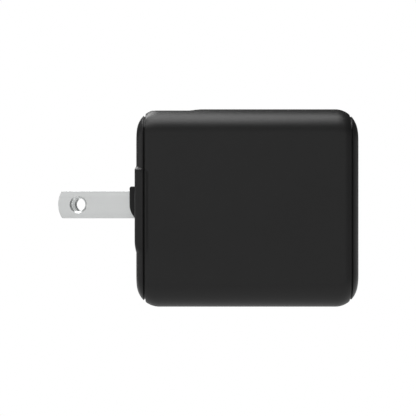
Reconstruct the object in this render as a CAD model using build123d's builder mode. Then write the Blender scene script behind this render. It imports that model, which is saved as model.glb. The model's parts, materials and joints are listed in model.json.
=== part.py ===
from build123d import *

import os
from math import cos, pi, sqrt

# A two-socket USB wall charger with a mains plug that folds into its rear face, in millimetres.
# X runs from the wall (the blades point to -X) to the sockets, Y is the thickness and +Z is up.
# The origin is the middle of the rear pad, the face that rests against the wall outlet.

os.makedirs("parts", exist_ok=True)

# ---- case ----
HALF_THICK = 14.0
HALF_TALL = 22.6
PAD_PROUD = 0.3
REAR_FACE = PAD_PROUD
FRONT_FACE = 50.75
LONG_EDGE_R = 5.75
CORNER_LONG = 5.1
CORNER_TALL = 5.4
REAR_CORNER_R = 4.2
REAR_EDGE = 1.8
FRONT_EDGE = 3.6
END_STEPS = 10
GROOVE = 0.4
REAR_CAP_DEPTH = 1.6
FRONT_CAP_DEPTH = 1.5
CAVITY_HALF_THICK = 12.1
CAVITY_HALF_TALL = 20.9
CAVITY_R = 4.2
SPIGOT_FIT = 0.05
SPIGOT_WALL = 1.2
SPIGOT_LONG = 4.0
STEP_DEPTH = 0.4
STEP_FRONT = 12.3
STEP_RAMP = 2.5

REAR_CAP_END = REAR_FACE + REAR_CAP_DEPTH
SLEEVE_REAR = REAR_CAP_END + GROOVE
FRONT_CAP_END = FRONT_FACE - FRONT_CAP_DEPTH
SLEEVE_FRONT = FRONT_CAP_END - GROOVE
SPIGOT_HALF_THICK = CAVITY_HALF_THICK - SPIGOT_FIT
SPIGOT_HALF_TALL = CAVITY_HALF_TALL - SPIGOT_FIT
SPIGOT_R = CAVITY_R - SPIGOT_FIT

# ---- rear pad: a low band across the rear face that wraps onto both sides ----
PAD_FULL_TOP = 8.6
PAD_TOP = 9.6
PAD_FULL_BOTTOM = -7.3
PAD_BOTTOM = -10.1
PAD_SIDE = 0.22
PAD_EDGE_R = 0.5
PAD_FLAT_END = 2.5
PAD_FADE_END = 3.1
PAD_STEPS = 4

# ---- plug: standard 15 A two-blade spacing and blade size ----
PIVOT_X = 3.05
PIVOT_Z = 0.8
BLADE_Y = 6.35
BLADE_WIDE = 6.35
BLADE_THICK = 1.52
BLADE_REACH = 21.0
BLADE_TIP_R = 5.9
BLADE_CORNER_R = 0.3
BLADE_HOLE_R = 3.175 / 2
BLADE_HOLE_REACH = 16.35
HOLE_CHAMFER = 0.4
ROOT_END = 2.5
TAIL_END = 4.75
TAIL_TALL = 1.4
HUB_R = 4.5
HUB_TOP = 4.15
HUB_HALF_WIDE = 8.6
HUB_EDGE_R = 0.5
HUB_END_CHAMFER = 0.3
TRUNNION_R = 1.5
TRUNNION_END = 10.6
BEARING_FIT = 0.06
HUB_FIT = 0.15
STOP_FIT = 0.1
OPENING_HALF_WIDE = 8.8
SLOT_SIDE_FIT = 0.3
SLOT_END_FIT = 0.25
TROUGH_WALL = 1.0
DETENT_R = 1.1
DETENT_DEPTH = 0.4
DETENT_HALF_WIDE = 2.8

# ---- sockets ----
SOCKET_Z = 7.5
SHELL_WIDE = 13.1
SHELL_TALL = 5.72
SHELL_WALL = 0.3
SHELL_LONG = 14.0
SHELL_SET_BACK = 0.4
SHELL_CORNER_R = 0.7
MOUTH_FIT = 0.15
MOUTH_CHAMFER = 0.35
SHELL_FRONT = FRONT_FACE - SHELL_SET_BACK
SHELL_REAR = SHELL_FRONT - SHELL_LONG

# ---- main board ----
BOARD_TOP = -6.75
BOARD_THICK = 1.2
BOARD_REAR = 11.0
BOARD_FRONT = 48.5
BOARD_HALF_TALL = 19.4
BOARD_UNDER = BOARD_TOP - BOARD_THICK
GAP = 0.05


def finish(piece, name):
    """Labels a finished piece and writes its own STEP file."""
    piece.part.label = name
    export_step(piece.part, f"parts/{name}.step")


def plane_at_x(x):
    """The YZ plane this far along X: its own x is Y and its own y is Z."""
    return Plane.YZ.offset(x)


def block(x_low, x_high, y_low, y_high, z_low, z_high, mode=Mode.ADD):
    """A box between two corners."""
    size = (x_high - x_low, y_high - y_low, z_high - z_low)
    with Locations(((x_low + x_high) / 2, (y_low + y_high) / 2, (z_low + z_high) / 2)):
        Box(*size, mode=mode)


def round_bar(x, z, radius, y_low, y_high, mode=Mode.ADD):
    """A cylinder along Y through (x, z)."""
    with Locations(Location((x, (y_low + y_high) / 2, z), (90, 0, 0))):
        Cylinder(radius, y_high - y_low, mode=mode)


# ======== case ========


def case_section(depth, edge_round, end_corner):
    """Half thickness, half height and corner radius of the case this far in from an end face."""
    share = 1 - min(depth / CORNER_LONG, 1)
    drop = CORNER_TALL * (1 - sqrt(1 - share**2))
    edge_share = 1 - min(depth / edge_round, 1)
    inset = edge_round * (1 - sqrt(1 - edge_share**2))
    corner = LONG_EDGE_R - (LONG_EDGE_R - end_corner) * share**2
    return HALF_THICK - inset, HALF_TALL - drop, corner - inset


def case_end(end_x, inward, edge_round, end_corner):
    """The softened end of the case, from its end face to where the full section starts."""
    with BuildPart() as end:
        for step in range(END_STEPS + 1):
            depth = CORNER_LONG * (1 - cos(step / END_STEPS * pi / 2))
            half_thick, half_tall, corner = case_section(depth, edge_round, end_corner)
            with BuildSketch(plane_at_x(end_x + inward * depth)):
                RectangleRounded(2 * half_thick, 2 * half_tall, corner)
        loft(ruled=True)
    return end.part


def case_form():
    """The whole outside of the case as one solid, before it is divided into sleeve and caps."""
    with BuildPart() as form:
        with BuildSketch(plane_at_x(REAR_FACE + CORNER_LONG)):
            RectangleRounded(2 * HALF_THICK, 2 * HALF_TALL, LONG_EDGE_R)
        extrude(amount=FRONT_FACE - REAR_FACE - 2 * CORNER_LONG)
        add(case_end(REAR_FACE, 1, REAR_EDGE, REAR_CORNER_R))
        add(case_end(FRONT_FACE, -1, FRONT_EDGE, LONG_EDGE_R))
    return form.part


def pad_swell(height):
    """How far the pad stands out at this height, from 0 at its two ends to 1 over its middle."""
    below = min(max((PAD_FULL_BOTTOM - height) / (PAD_FULL_BOTTOM - PAD_BOTTOM), 0), 1)
    above = min(max((PAD_TOP - height) / (PAD_TOP - PAD_FULL_TOP), 0), 1)
    return (1 - below**2) * above**2 * (3 - 2 * above)


def pad_form():
    """The rear pad, as a stack of sections that swell from the case's own outline and return to it."""
    rising = [PAD_BOTTOM + (PAD_FULL_BOTTOM - PAD_BOTTOM) * step / PAD_STEPS for step in range(PAD_STEPS)]
    falling = [PAD_TOP - (PAD_TOP - PAD_FULL_TOP) * step / PAD_STEPS for step in range(PAD_STEPS)]
    with BuildPart() as pad:
        for height in rising + [PAD_FULL_BOTTOM, PAD_FULL_TOP] + falling[::-1]:
            swell = pad_swell(height)
            rear = REAR_FACE - swell * PAD_PROUD
            side = HALF_THICK + swell * PAD_SIDE
            edge_round = REAR_EDGE + swell * (PAD_EDGE_R - REAR_EDGE)
            with BuildSketch(Plane.XY.offset(height)) as outline:
                with Locations(((rear + CORNER_LONG) / 2, 0)):
                    Rectangle(CORNER_LONG - rear, 2 * side)
                fillet(outline.vertices().group_by(Axis.X)[0], edge_round)
        loft(ruled=True)
    return pad.part


outer_form = case_form()

with BuildPart() as main_sleeve:
    add(outer_form)
    with BuildSketch(plane_at_x(REAR_FACE)):
        RectangleRounded(2 * CAVITY_HALF_THICK, 2 * CAVITY_HALF_TALL, CAVITY_R)
    extrude(amount=FRONT_FACE, mode=Mode.SUBTRACT)
    split(bisect_by=plane_at_x(SLEEVE_REAR), keep=Keep.TOP)
    split(bisect_by=plane_at_x(SLEEVE_FRONT), keep=Keep.BOTTOM)
    # the shallow step in the top, whose ramp faces forward
    with BuildSketch(Plane.XZ):
        with BuildLine():
            Polyline(
                (0, HALF_TALL + 1),
                (0, HALF_TALL - STEP_DEPTH),
                (STEP_FRONT, HALF_TALL - STEP_DEPTH),
                (STEP_FRONT + STEP_RAMP, HALF_TALL),
                (STEP_FRONT + STEP_RAMP, HALF_TALL + 1),
                close=True,
            )
        make_face()
    extrude(amount=HALF_THICK, both=True, mode=Mode.SUBTRACT)
    # the ends of the rear pad, where it fades out on the two sides
    for side in (-1, 1):
        with BuildSketch(Plane.XY.offset(PAD_FULL_BOTTOM)):
            with BuildLine():
                Polyline(
                    (SLEEVE_REAR, side * (HALF_THICK - 1)),
                    (SLEEVE_REAR, side * (HALF_THICK + PAD_SIDE)),
                    (PAD_FLAT_END, side * (HALF_THICK + PAD_SIDE)),
                    (PAD_FADE_END, side * HALF_THICK),
                    (PAD_FADE_END, side * (HALF_THICK - 1)),
                    close=True,
                )
            make_face()
        extrude(amount=PAD_FULL_TOP - PAD_FULL_BOTTOM)

finish(main_sleeve, "main_sleeve")


def spigot_ring(start):
    """The outline of the ring of a cap that fits inside the sleeve and forms the groove's floor."""
    with BuildSketch(plane_at_x(start)) as ring:
        RectangleRounded(2 * SPIGOT_HALF_THICK, 2 * SPIGOT_HALF_TALL, SPIGOT_R)
        RectangleRounded(
            2 * (SPIGOT_HALF_THICK - SPIGOT_WALL),
            2 * (SPIGOT_HALF_TALL - SPIGOT_WALL),
            SPIGOT_R - SPIGOT_WALL,
            mode=Mode.SUBTRACT,
        )
    return ring.sketch


SLOT_HALF_WIDE = BLADE_THICK / 2 + SLOT_SIDE_FIT
SLOT_FLOOR = PIVOT_X + BLADE_WIDE / 2 + SLOT_END_FIT
SLOT_BOTTOM = PIVOT_Z - BLADE_REACH - SLOT_END_FIT
OPENING_TOP = PIVOT_Z + HUB_TOP + STOP_FIT
OPENING_BOTTOM = PIVOT_Z - HUB_R - HUB_FIT
BEARING_R = TRUNNION_R + BEARING_FIT
BEARING_HALF_TALL = 3.0
BEARING_SPLIT = PIVOT_X
BEARING_OUT = SPIGOT_HALF_THICK - SPIGOT_WALL

with BuildPart() as rear_cap:
    add(outer_form)
    add(pad_form())
    split(bisect_by=plane_at_x(REAR_CAP_END), keep=Keep.BOTTOM)
    extrude(spigot_ring(REAR_CAP_END), amount=SPIGOT_LONG)
    for side in (-1, 1):
        middle = side * BLADE_Y
        reach = SLOT_HALF_WIDE + TROUGH_WALL
        # the trough that a folded blade lies in
        block(
            REAR_CAP_END, SLOT_FLOOR + TROUGH_WALL, middle - reach, middle + reach,
            -SPIGOT_HALF_TALL + SPIGOT_WALL / 2, OPENING_BOTTOM,
        )
        # the half bearing that carries one trunnion of the hub
        bearing = sorted((side * OPENING_HALF_WIDE, side * (BEARING_OUT + GAP)))
        block(
            REAR_CAP_END, BEARING_SPLIT - GAP, *bearing,
            PIVOT_Z - BEARING_HALF_TALL, PIVOT_Z + BEARING_HALF_TALL,
        )
    for side in (-1, 1):
        middle = side * BLADE_Y
        block(
            -1, SLOT_FLOOR, middle - SLOT_HALF_WIDE, middle + SLOT_HALF_WIDE,
            SLOT_BOTTOM, PIVOT_Z, mode=Mode.SUBTRACT,
        )
    # the opening that the hub turns in, with a round relief for its drum
    block(
        -1, PIVOT_X, -OPENING_HALF_WIDE, OPENING_HALF_WIDE, OPENING_BOTTOM, OPENING_TOP,
        mode=Mode.SUBTRACT,
    )
    round_bar(PIVOT_X, PIVOT_Z, HUB_R + HUB_FIT, -OPENING_HALF_WIDE, OPENING_HALF_WIDE, Mode.SUBTRACT)
    round_bar(PIVOT_X, PIVOT_Z, BEARING_R, -BEARING_OUT, BEARING_OUT, Mode.SUBTRACT)

finish(rear_cap, "rear_cap")

with BuildPart() as front_cap:
    add(outer_form)
    split(bisect_by=plane_at_x(FRONT_CAP_END), keep=Keep.TOP)
    extrude(spigot_ring(FRONT_CAP_END - SPIGOT_LONG), amount=SPIGOT_LONG)
    for level in (-SOCKET_Z, SOCKET_Z):
        mouth_wide = SHELL_WIDE + 2 * MOUTH_FIT
        mouth_tall = SHELL_TALL + 2 * MOUTH_FIT
        with BuildSketch(plane_at_x(FRONT_CAP_END)):
            with Locations((0, level)):
                RectangleRounded(mouth_wide, mouth_tall, SHELL_CORNER_R + MOUTH_FIT)
        extrude(amount=FRONT_CAP_DEPTH, mode=Mode.SUBTRACT)
        mouth_edges = front_cap.edges().filter_by_position(Axis.X, FRONT_FACE - GAP, FRONT_FACE + GAP)
        mouth_edges = mouth_edges.filter_by_position(
            Axis.Z, level - mouth_tall / 2 - GAP, level + mouth_tall / 2 + GAP
        )
        mouth_edges = mouth_edges.filter_by_position(
            Axis.Y, -mouth_wide / 2 - GAP, mouth_wide / 2 + GAP
        )
        chamfer(mouth_edges, MOUTH_CHAMFER)

finish(front_cap, "front_cap")

# ======== folding plug ========


def blade(y_middle):
    """One flat blade with its tip, cross hole, wide root inside the hub and narrow contact tail."""
    half = BLADE_WIDE / 2
    tip = PIVOT_X - BLADE_REACH
    face = y_middle - BLADE_THICK / 2
    with BuildPart() as strip:
        with BuildSketch(Plane.XZ.offset(-face)):
            with Locations(((tip + PIVOT_X + ROOT_END) / 2, PIVOT_Z)):
                Rectangle(BLADE_REACH + ROOT_END, BLADE_WIDE)
            with Locations((PIVOT_X + (ROOT_END + TAIL_END) / 2, PIVOT_Z)):
                Rectangle(TAIL_END - ROOT_END, TAIL_TALL)
        extrude(amount=-BLADE_THICK)
        # the tip follows an arc across the blade's width
        with BuildSketch(Plane.XZ.offset(-face)):
            with Locations((tip + BLADE_TIP_R, PIVOT_Z)):
                Circle(BLADE_TIP_R)
            with Locations((tip + BLADE_REACH, PIVOT_Z)):
                Rectangle(2 * (BLADE_REACH - BLADE_TIP_R / 2), BLADE_WIDE + 1)
        extrude(amount=-BLADE_THICK, mode=Mode.INTERSECT)
        fillet(strip.edges().filter_by(Axis.Y).group_by(Axis.X)[0], BLADE_CORNER_R)
        round_bar(
            PIVOT_X - BLADE_HOLE_REACH, PIVOT_Z, BLADE_HOLE_R, face - 1, face + BLADE_THICK + 1,
            Mode.SUBTRACT,
        )
        rims = strip.edges().filter_by(GeomType.CIRCLE)
        rims = rims.filter_by(lambda rim: abs(rim.radius - BLADE_HOLE_R) < GAP)
        chamfer(rims, HOLE_CHAMFER)
    return strip.part


BLADE_NAMES = {-BLADE_Y: "line_blade", BLADE_Y: "neutral_blade"}
for y_middle, blade_name in BLADE_NAMES.items():
    with BuildPart() as blade_piece:
        add(blade(y_middle))
    finish(blade_piece, blade_name)

with BuildPart() as plug_hub:
    # a drum about the pivot whose upper outer quarter is square and stops on the case
    with BuildSketch(Plane.XZ) as hub_outline:
        with Locations((PIVOT_X, PIVOT_Z)):
            Circle(HUB_R)
        with Locations((PIVOT_X - HUB_R / 2, PIVOT_Z + HUB_TOP / 2)):
            Rectangle(HUB_R, HUB_TOP)
        with Locations((PIVOT_X, PIVOT_Z + HUB_TOP + HUB_R)):
            Rectangle(4 * HUB_R, 2 * HUB_R, mode=Mode.SUBTRACT)
        outer_corner = hub_outline.vertices().group_by(Axis.X)[0].sort_by(Axis.Y)[-1]
        fillet(outer_corner, HUB_EDGE_R)
    extrude(amount=HUB_HALF_WIDE, both=True)
    chamfer(
        plug_hub.edges().group_by(Axis.Y)[0] + plug_hub.edges().group_by(Axis.Y)[-1],
        HUB_END_CHAMFER,
    )
    round_bar(PIVOT_X, PIVOT_Z, TRUNNION_R, -TRUNNION_END, TRUNNION_END)
    # two shallow grooves that the detent leaf drops into, a quarter turn apart
    for along, up in ((1, 0), (0, -1)):
        offset_out = HUB_R + DETENT_R - DETENT_DEPTH
        round_bar(
            PIVOT_X + along * offset_out, PIVOT_Z + up * offset_out, DETENT_R,
            -DETENT_HALF_WIDE, DETENT_HALF_WIDE, Mode.SUBTRACT,
        )
    for y_middle in BLADE_NAMES:
        block(
            PIVOT_X - 2 * HUB_R, PIVOT_X + ROOT_END,
            y_middle - BLADE_THICK / 2, y_middle + BLADE_THICK / 2,
            PIVOT_Z - BLADE_WIDE / 2, PIVOT_Z + BLADE_WIDE / 2, mode=Mode.SUBTRACT,
        )
        block(
            PIVOT_X, PIVOT_X + 2 * HUB_R,
            y_middle - BLADE_THICK / 2, y_middle + BLADE_THICK / 2,
            PIVOT_Z - TAIL_TALL / 2, PIVOT_Z + TAIL_TALL / 2, mode=Mode.SUBTRACT,
        )

finish(plug_hub, "plug_hub")

# ======== hinge keeper, detent leaf and mains contacts ========

KEEPER_BACK = 8.5
KEEPER_TOP = 7.6
KEEPER_BAR_FRONT = 5.2
KEEPER_BAR_BOTTOM = 6.1
KEEPER_OUT = BEARING_OUT - GAP

with BuildPart() as hinge_keeper:
    for side in (-1, 1):
        arm = sorted((side * OPENING_HALF_WIDE, side * KEEPER_OUT))
        block(
            BEARING_SPLIT + GAP, KEEPER_BACK, *arm, PIVOT_Z - BEARING_HALF_TALL, KEEPER_TOP,
        )
    block(
        KEEPER_BAR_FRONT, KEEPER_BACK, -KEEPER_OUT, KEEPER_OUT, KEEPER_BAR_BOTTOM, KEEPER_TOP,
    )
    round_bar(PIVOT_X, PIVOT_Z, BEARING_R, -KEEPER_OUT, KEEPER_OUT, Mode.SUBTRACT)

finish(hinge_keeper, "hinge_keeper")

LEAF_THICK = 0.3
LEAF_HALF_WIDE = 2.5
LEAF_BOTTOM = -3.5
LEAF_RIB_R = 1.0
LEAF_RIB_CLEAR = 0.08

with BuildPart() as detent_leaf:
    block(
        KEEPER_BACK, KEEPER_BACK + LEAF_THICK, -LEAF_HALF_WIDE, LEAF_HALF_WIDE,
        LEAF_BOTTOM, KEEPER_TOP - LEAF_THICK,
    )
    rib_x = PIVOT_X + HUB_R + LEAF_RIB_CLEAR + LEAF_RIB_R
    round_bar(rib_x, PIVOT_Z, LEAF_RIB_R, -LEAF_HALF_WIDE, LEAF_HALF_WIDE)
    round_bar(rib_x, PIVOT_Z, LEAF_RIB_R - LEAF_THICK, -LEAF_HALF_WIDE, LEAF_HALF_WIDE, Mode.SUBTRACT)
    block(
        KEEPER_BACK + LEAF_THICK, KEEPER_BACK + 4 * LEAF_RIB_R, -LEAF_HALF_WIDE, LEAF_HALF_WIDE,
        PIVOT_Z - 2 * LEAF_RIB_R, PIVOT_Z + 2 * LEAF_RIB_R, mode=Mode.SUBTRACT,
    )

finish(detent_leaf, "detent_leaf")

CONTACT_THICK = 0.4
CONTACT_HALF_WIDE = 1.4
CONTACT_X = PIVOT_X + TAIL_END + 0.12
CONTACT_TOP = PIVOT_Z + 2.2
CONTACT_ELBOW = BOARD_REAR - 1.5
FOOT_TOP = BOARD_TOP + 0.5
FOOT_END = 13.4
# the middle of each contact across the case and the height that its leg starts at
CONTACT_LEGS = {"line_contact": (-BLADE_Y, -4.6), "neutral_contact": (BLADE_Y, -8.6)}

for contact_name, (y_middle, leg_bottom) in CONTACT_LEGS.items():
    with BuildPart() as contact:
        low = y_middle - CONTACT_HALF_WIDE
        high = y_middle + CONTACT_HALF_WIDE
        leg_top = leg_bottom + 2 * CONTACT_HALF_WIDE
        # the finger that meets the blade's tail
        block(CONTACT_X, CONTACT_X + CONTACT_THICK, low, high, leg_bottom, CONTACT_TOP)
        # the strip back to the board's end, the leg beside it and the soldered foot
        elbow_back = CONTACT_ELBOW + CONTACT_THICK
        block(CONTACT_X, elbow_back, low, high, leg_bottom, leg_bottom + CONTACT_THICK)
        block(CONTACT_ELBOW, elbow_back, FOOT_TOP - CONTACT_THICK, high, leg_bottom, leg_top)
        block(CONTACT_ELBOW, FOOT_END, FOOT_TOP - CONTACT_THICK, FOOT_TOP, leg_bottom, leg_top)
    finish(contact, contact_name)

# ======== sockets ========

TONGUE_WIDE = 11.1
TONGUE_TALL = 1.84
TONGUE_ABOVE = 0.72
TONGUE_SET_BACK = 1.8
INSULATOR_LONG = 3.0
PIN_WIDE = 1.1
PIN_THICK = 0.25
PIN_PITCH = 2.4
PIN_SET_BACK = 3.0
PIN_LEG_STEP = 0.5
PIN_LEG_START = 0.5
PIN_FOOT_BELOW = 0.3
TONGUE_CHAMFER = 0.4
TAB_WIDE = 2.0
TAB_REAR = SHELL_REAR + 5.0
TAB_FRONT = SHELL_REAR + 9.5
TAB_REACH = 0.5
SOCKETS = {"upper": SOCKET_Z, "lower": -SOCKET_Z}
TONGUE_FRONT = SHELL_FRONT - TONGUE_SET_BACK
INSULATOR_FRONT = SHELL_REAR + INSULATOR_LONG


def pins(level):
    """The four contact strips under a tongue, each with a leg that runs down to the board."""
    tongue_under = level + SHELL_TALL / 2 - SHELL_WALL - TONGUE_ABOVE - TONGUE_TALL
    with BuildPart() as strips:
        for number in range(4):
            middle = (number - 1.5) * PIN_PITCH
            leg_x = SHELL_REAR - PIN_LEG_START - number * PIN_LEG_STEP
            block(
                leg_x, TONGUE_FRONT - PIN_SET_BACK, middle - PIN_WIDE / 2, middle + PIN_WIDE / 2,
                tongue_under - PIN_THICK, tongue_under,
            )
            block(
                leg_x, leg_x + PIN_THICK, BOARD_TOP, middle,
                tongue_under - PIN_THICK - PIN_FOOT_BELOW, tongue_under,
            )
    return strips.part


for place, level in SOCKETS.items():
    with BuildPart() as shell:
        with BuildSketch(plane_at_x(SHELL_REAR)):
            with Locations((0, level)):
                RectangleRounded(SHELL_WIDE, SHELL_TALL, SHELL_CORNER_R)
                RectangleRounded(
                    SHELL_WIDE - 2 * SHELL_WALL, SHELL_TALL - 2 * SHELL_WALL,
                    SHELL_CORNER_R - SHELL_WALL, mode=Mode.SUBTRACT,
                )
        extrude(amount=SHELL_LONG)
        # the windows that spring tabs are cut from, two above and two below
        for side in (-1, 1):
            middle = side * SHELL_WIDE / 4
            for wall in (-1, 1):
                height = level + wall * SHELL_TALL / 2
                block(
                    TAB_REAR, TAB_FRONT, middle - TAB_WIDE / 2, middle + TAB_WIDE / 2,
                    height - TAB_REACH, height + TAB_REACH, mode=Mode.SUBTRACT,
                )
    finish(shell, f"usb_shell_{place}")

    pin_strips = pins(level)
    with BuildPart() as tongue:
        inside_wide = SHELL_WIDE - 2 * SHELL_WALL - 2 * GAP
        inside_tall = SHELL_TALL - 2 * SHELL_WALL - 2 * GAP
        with BuildSketch(plane_at_x(SHELL_REAR)):
            with Locations((0, level)):
                RectangleRounded(inside_wide, inside_tall, SHELL_CORNER_R - SHELL_WALL - GAP)
        extrude(amount=INSULATOR_LONG)
        tongue_top = level + SHELL_TALL / 2 - SHELL_WALL - TONGUE_ABOVE
        block(
            SHELL_REAR, TONGUE_FRONT, -TONGUE_WIDE / 2, TONGUE_WIDE / 2,
            tongue_top - TONGUE_TALL, tongue_top,
        )
        add(pin_strips, mode=Mode.SUBTRACT)
        nose = tongue.edges().filter_by(Axis.Y).group_by(Axis.X)[-1]
        chamfer(nose, TONGUE_CHAMFER)
    finish(tongue, f"usb_tongue_{place}")

    with BuildPart() as contacts:
        add(pin_strips)
    finish(contacts, f"usb_pins_{place}")

# ======== main board and what is soldered to it ========

BOARD_CORNER_R = 2.0
ISOLATION_X = (27.0, 31.0)
ISOLATION_Z = (-17.0, -16.0)
LEAD_R = 0.3
STAND_OFF = 0.2

with BuildPart() as main_board:
    block(
        BOARD_REAR, BOARD_FRONT, BOARD_UNDER, BOARD_TOP, -BOARD_HALF_TALL, BOARD_HALF_TALL,
    )
    fillet(main_board.edges().filter_by(Axis.Y), BOARD_CORNER_R)
    # the isolation slot milled between the mains side and the low-voltage side
    block(*ISOLATION_X, BOARD_UNDER - 1, BOARD_TOP + 1, *ISOLATION_Z, mode=Mode.SUBTRACT)

finish(main_board, "main_board")

CAN_LIFT = 0.3
CAN_RIM_R = 0.8
CAN_GROOVE_UP = 1.8
CAN_GROOVE_R = 0.5
CAN_GROOVE_OUT = 0.15


def standing_can(x, z, radius, height):
    """An electrolytic capacitor that stands on the board, with its rolled groove and rounded rim."""
    with BuildPart() as can:
        with BuildSketch(Plane((x, 0, z), x_dir=(1, 0, 0), z_dir=(0, 0, 1))) as half:
            base = BOARD_TOP + CAN_LIFT
            with Locations((radius / 2, base + height / 2)):
                Rectangle(radius, height)
            fillet(half.vertices().group_by(Axis.Y)[-1].sort_by(Axis.X)[-1], CAN_RIM_R)
            with Locations((radius + CAN_GROOVE_OUT, base + CAN_GROOVE_UP)):
                Circle(CAN_GROOVE_R, mode=Mode.SUBTRACT)
        revolve(axis=Axis((x, 0, z), (0, 1, 0)))
        for side in (-1, 1):
            lead_x = x + side * radius / 2
            round_bar(lead_x, z, LEAD_R, BOARD_TOP, base)
    return can.part


# the X, Z, radius and height of each can
CANS = {
    "input_capacitor_upper": (17.2, 13.4, 5.0, 15.5),
    "input_capacitor_lower": (17.2, -13.9, 5.0, 15.5),
    "output_capacitor_upper": (41.0, 15.2, 3.9, 11.5),
    "output_capacitor_lower": (41.0, -15.2, 3.9, 11.5),
}
for can_name, can_size in CANS.items():
    with BuildPart() as capacitor:
        add(standing_can(*can_size))
    finish(capacitor, can_name)

CORE_REAR = 22.5
CORE_LONG = 11.6
CORE_HALF_TALL = 9.5
CORE_LOW = -0.6
CORE_THICK = 5.6
CORE_PLATE = 2.2
CORE_LEG = 1.9
CORE_MIDDLE_LEG = 2.4
CORE_MIDDLE = CORE_REAR + CORE_LONG / 2

with BuildPart() as transformer_core:
    # two E-shaped ferrite halves that meet at the middle of their legs
    for start, end in ((CORE_REAR, CORE_MIDDLE - GAP / 2), (CORE_MIDDLE + GAP / 2, CORE_REAR + CORE_LONG)):
        block(start, end, CORE_LOW, CORE_LOW + CORE_THICK, -CORE_HALF_TALL, CORE_HALF_TALL)
    for side in (-1, 1):
        window = sorted((side * CORE_MIDDLE_LEG, side * (CORE_HALF_TALL - CORE_LEG)))
        block(
            CORE_REAR + CORE_PLATE, CORE_REAR + CORE_LONG - CORE_PLATE,
            CORE_LOW - 1, CORE_LOW + CORE_THICK + 1, *window, mode=Mode.SUBTRACT,
        )

finish(transformer_core, "transformer_core")

BOBBIN_WALL = 0.5
COIL_CORNER_R = 1.2
WINDOW_FIT = 0.2
COIL_HALF_TALL = CORE_HALF_TALL - CORE_LEG - WINDOW_FIT
COIL_HALF_THICK = 6.2
COIL_Y = CORE_LOW + CORE_THICK / 2
BOBBIN_REAR = CORE_REAR + CORE_PLATE + GAP
BOBBIN_FRONT = CORE_REAR + CORE_LONG - CORE_PLATE - GAP
COIL_REAR = BOBBIN_REAR + BOBBIN_WALL + GAP
COIL_FRONT = BOBBIN_FRONT - BOBBIN_WALL - GAP
SLEEVE_HALF_TALL = CORE_MIDDLE_LEG + GAP + BOBBIN_WALL
SLEEVE_HALF_THICK = CORE_THICK / 2 + GAP + BOBBIN_WALL


def coil_ring(start, length, outer, inner):
    """A rounded rectangular ring about the core's middle leg."""
    with BuildPart() as ring:
        with BuildSketch(plane_at_x(start)):
            with Locations((COIL_Y, 0)):
                RectangleRounded(2 * outer[0], 2 * outer[1], COIL_CORNER_R)
                RectangleRounded(2 * inner[0], 2 * inner[1], 2 * GAP, mode=Mode.SUBTRACT)
        extrude(amount=length)
    return ring.part


with BuildPart() as transformer_bobbin:
    flange = (COIL_HALF_THICK + WINDOW_FIT, COIL_HALF_TALL)
    hole = (CORE_THICK / 2 + GAP, CORE_MIDDLE_LEG + GAP)
    add(coil_ring(BOBBIN_REAR, BOBBIN_WALL, flange, hole))
    add(coil_ring(BOBBIN_FRONT - BOBBIN_WALL, BOBBIN_WALL, flange, hole))
    add(coil_ring(BOBBIN_REAR, BOBBIN_FRONT - BOBBIN_REAR, (SLEEVE_HALF_THICK, SLEEVE_HALF_TALL), hole))
    # feet under each flange, with the pins that go into the board
    for foot_x in (BOBBIN_REAR, BOBBIN_FRONT - BOBBIN_WALL):
        block(
            foot_x, foot_x + BOBBIN_WALL, BOARD_TOP, COIL_Y - COIL_HALF_THICK + 1,
            -COIL_HALF_TALL, COIL_HALF_TALL,
        )

finish(transformer_bobbin, "transformer_bobbin")

TAPE_THICK = 0.3
TAPE_HALF_TALL = COIL_HALF_TALL - 0.1

with BuildPart() as transformer_winding:
    add(
        coil_ring(
            COIL_REAR, COIL_FRONT - COIL_REAR,
            (COIL_HALF_THICK - TAPE_THICK - GAP, TAPE_HALF_TALL - TAPE_THICK - 2 * GAP),
            (SLEEVE_HALF_THICK + GAP, SLEEVE_HALF_TALL + GAP),
        )
    )

finish(transformer_winding, "transformer_winding")

with BuildPart() as transformer_tape:
    with BuildSketch(plane_at_x(COIL_REAR)):
        with Locations((COIL_Y, 0)):
            RectangleRounded(2 * COIL_HALF_THICK, 2 * TAPE_HALF_TALL, COIL_CORNER_R + TAPE_THICK)
            RectangleRounded(
                2 * (COIL_HALF_THICK - TAPE_THICK), 2 * (TAPE_HALF_TALL - TAPE_THICK), COIL_CORNER_R,
                mode=Mode.SUBTRACT,
            )
    extrude(amount=COIL_FRONT - COIL_REAR)

finish(transformer_tape, "transformer_tape")

CHOKE_X = 17.6
CHOKE_Z = 3.6
CHOKE_OUT = 3.6
CHOKE_IN = 1.9
CHOKE_LOW = BOARD_TOP + 1.0
CHOKE_TALL = 4.0
TURNS_PER_SIDE = 4
TURN_STEP = 27
WIRE = 0.5

with BuildPart() as choke_core:
    round_bar(CHOKE_X, CHOKE_Z, CHOKE_OUT, CHOKE_LOW, CHOKE_LOW + CHOKE_TALL)
    round_bar(CHOKE_X, CHOKE_Z, CHOKE_IN, CHOKE_LOW, CHOKE_LOW + CHOKE_TALL, Mode.SUBTRACT)

finish(choke_core, "choke_core")

with BuildPart() as choke_windings:
    # two banks of turns on opposite sides of the ring
    turn_middle = (CHOKE_OUT + CHOKE_IN) / 2
    turn_wide = CHOKE_OUT - CHOKE_IN + 2 * GAP
    turn_tall = CHOKE_TALL + 2 * GAP
    for bank in (0, 180):
        for turn in range(TURNS_PER_SIDE):
            angle = bank + (turn - (TURNS_PER_SIDE - 1) / 2) * TURN_STEP
            ring_middle = Location((CHOKE_X, CHOKE_LOW + CHOKE_TALL / 2, CHOKE_Z), (0, angle, 0))
            with Locations(ring_middle * Location((turn_middle, 0, 0))):
                Box(turn_wide + 2 * WIRE, turn_tall + 2 * WIRE, WIRE)
                Box(turn_wide, turn_tall, WIRE, mode=Mode.SUBTRACT)

finish(choke_windings, "choke_windings")

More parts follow.
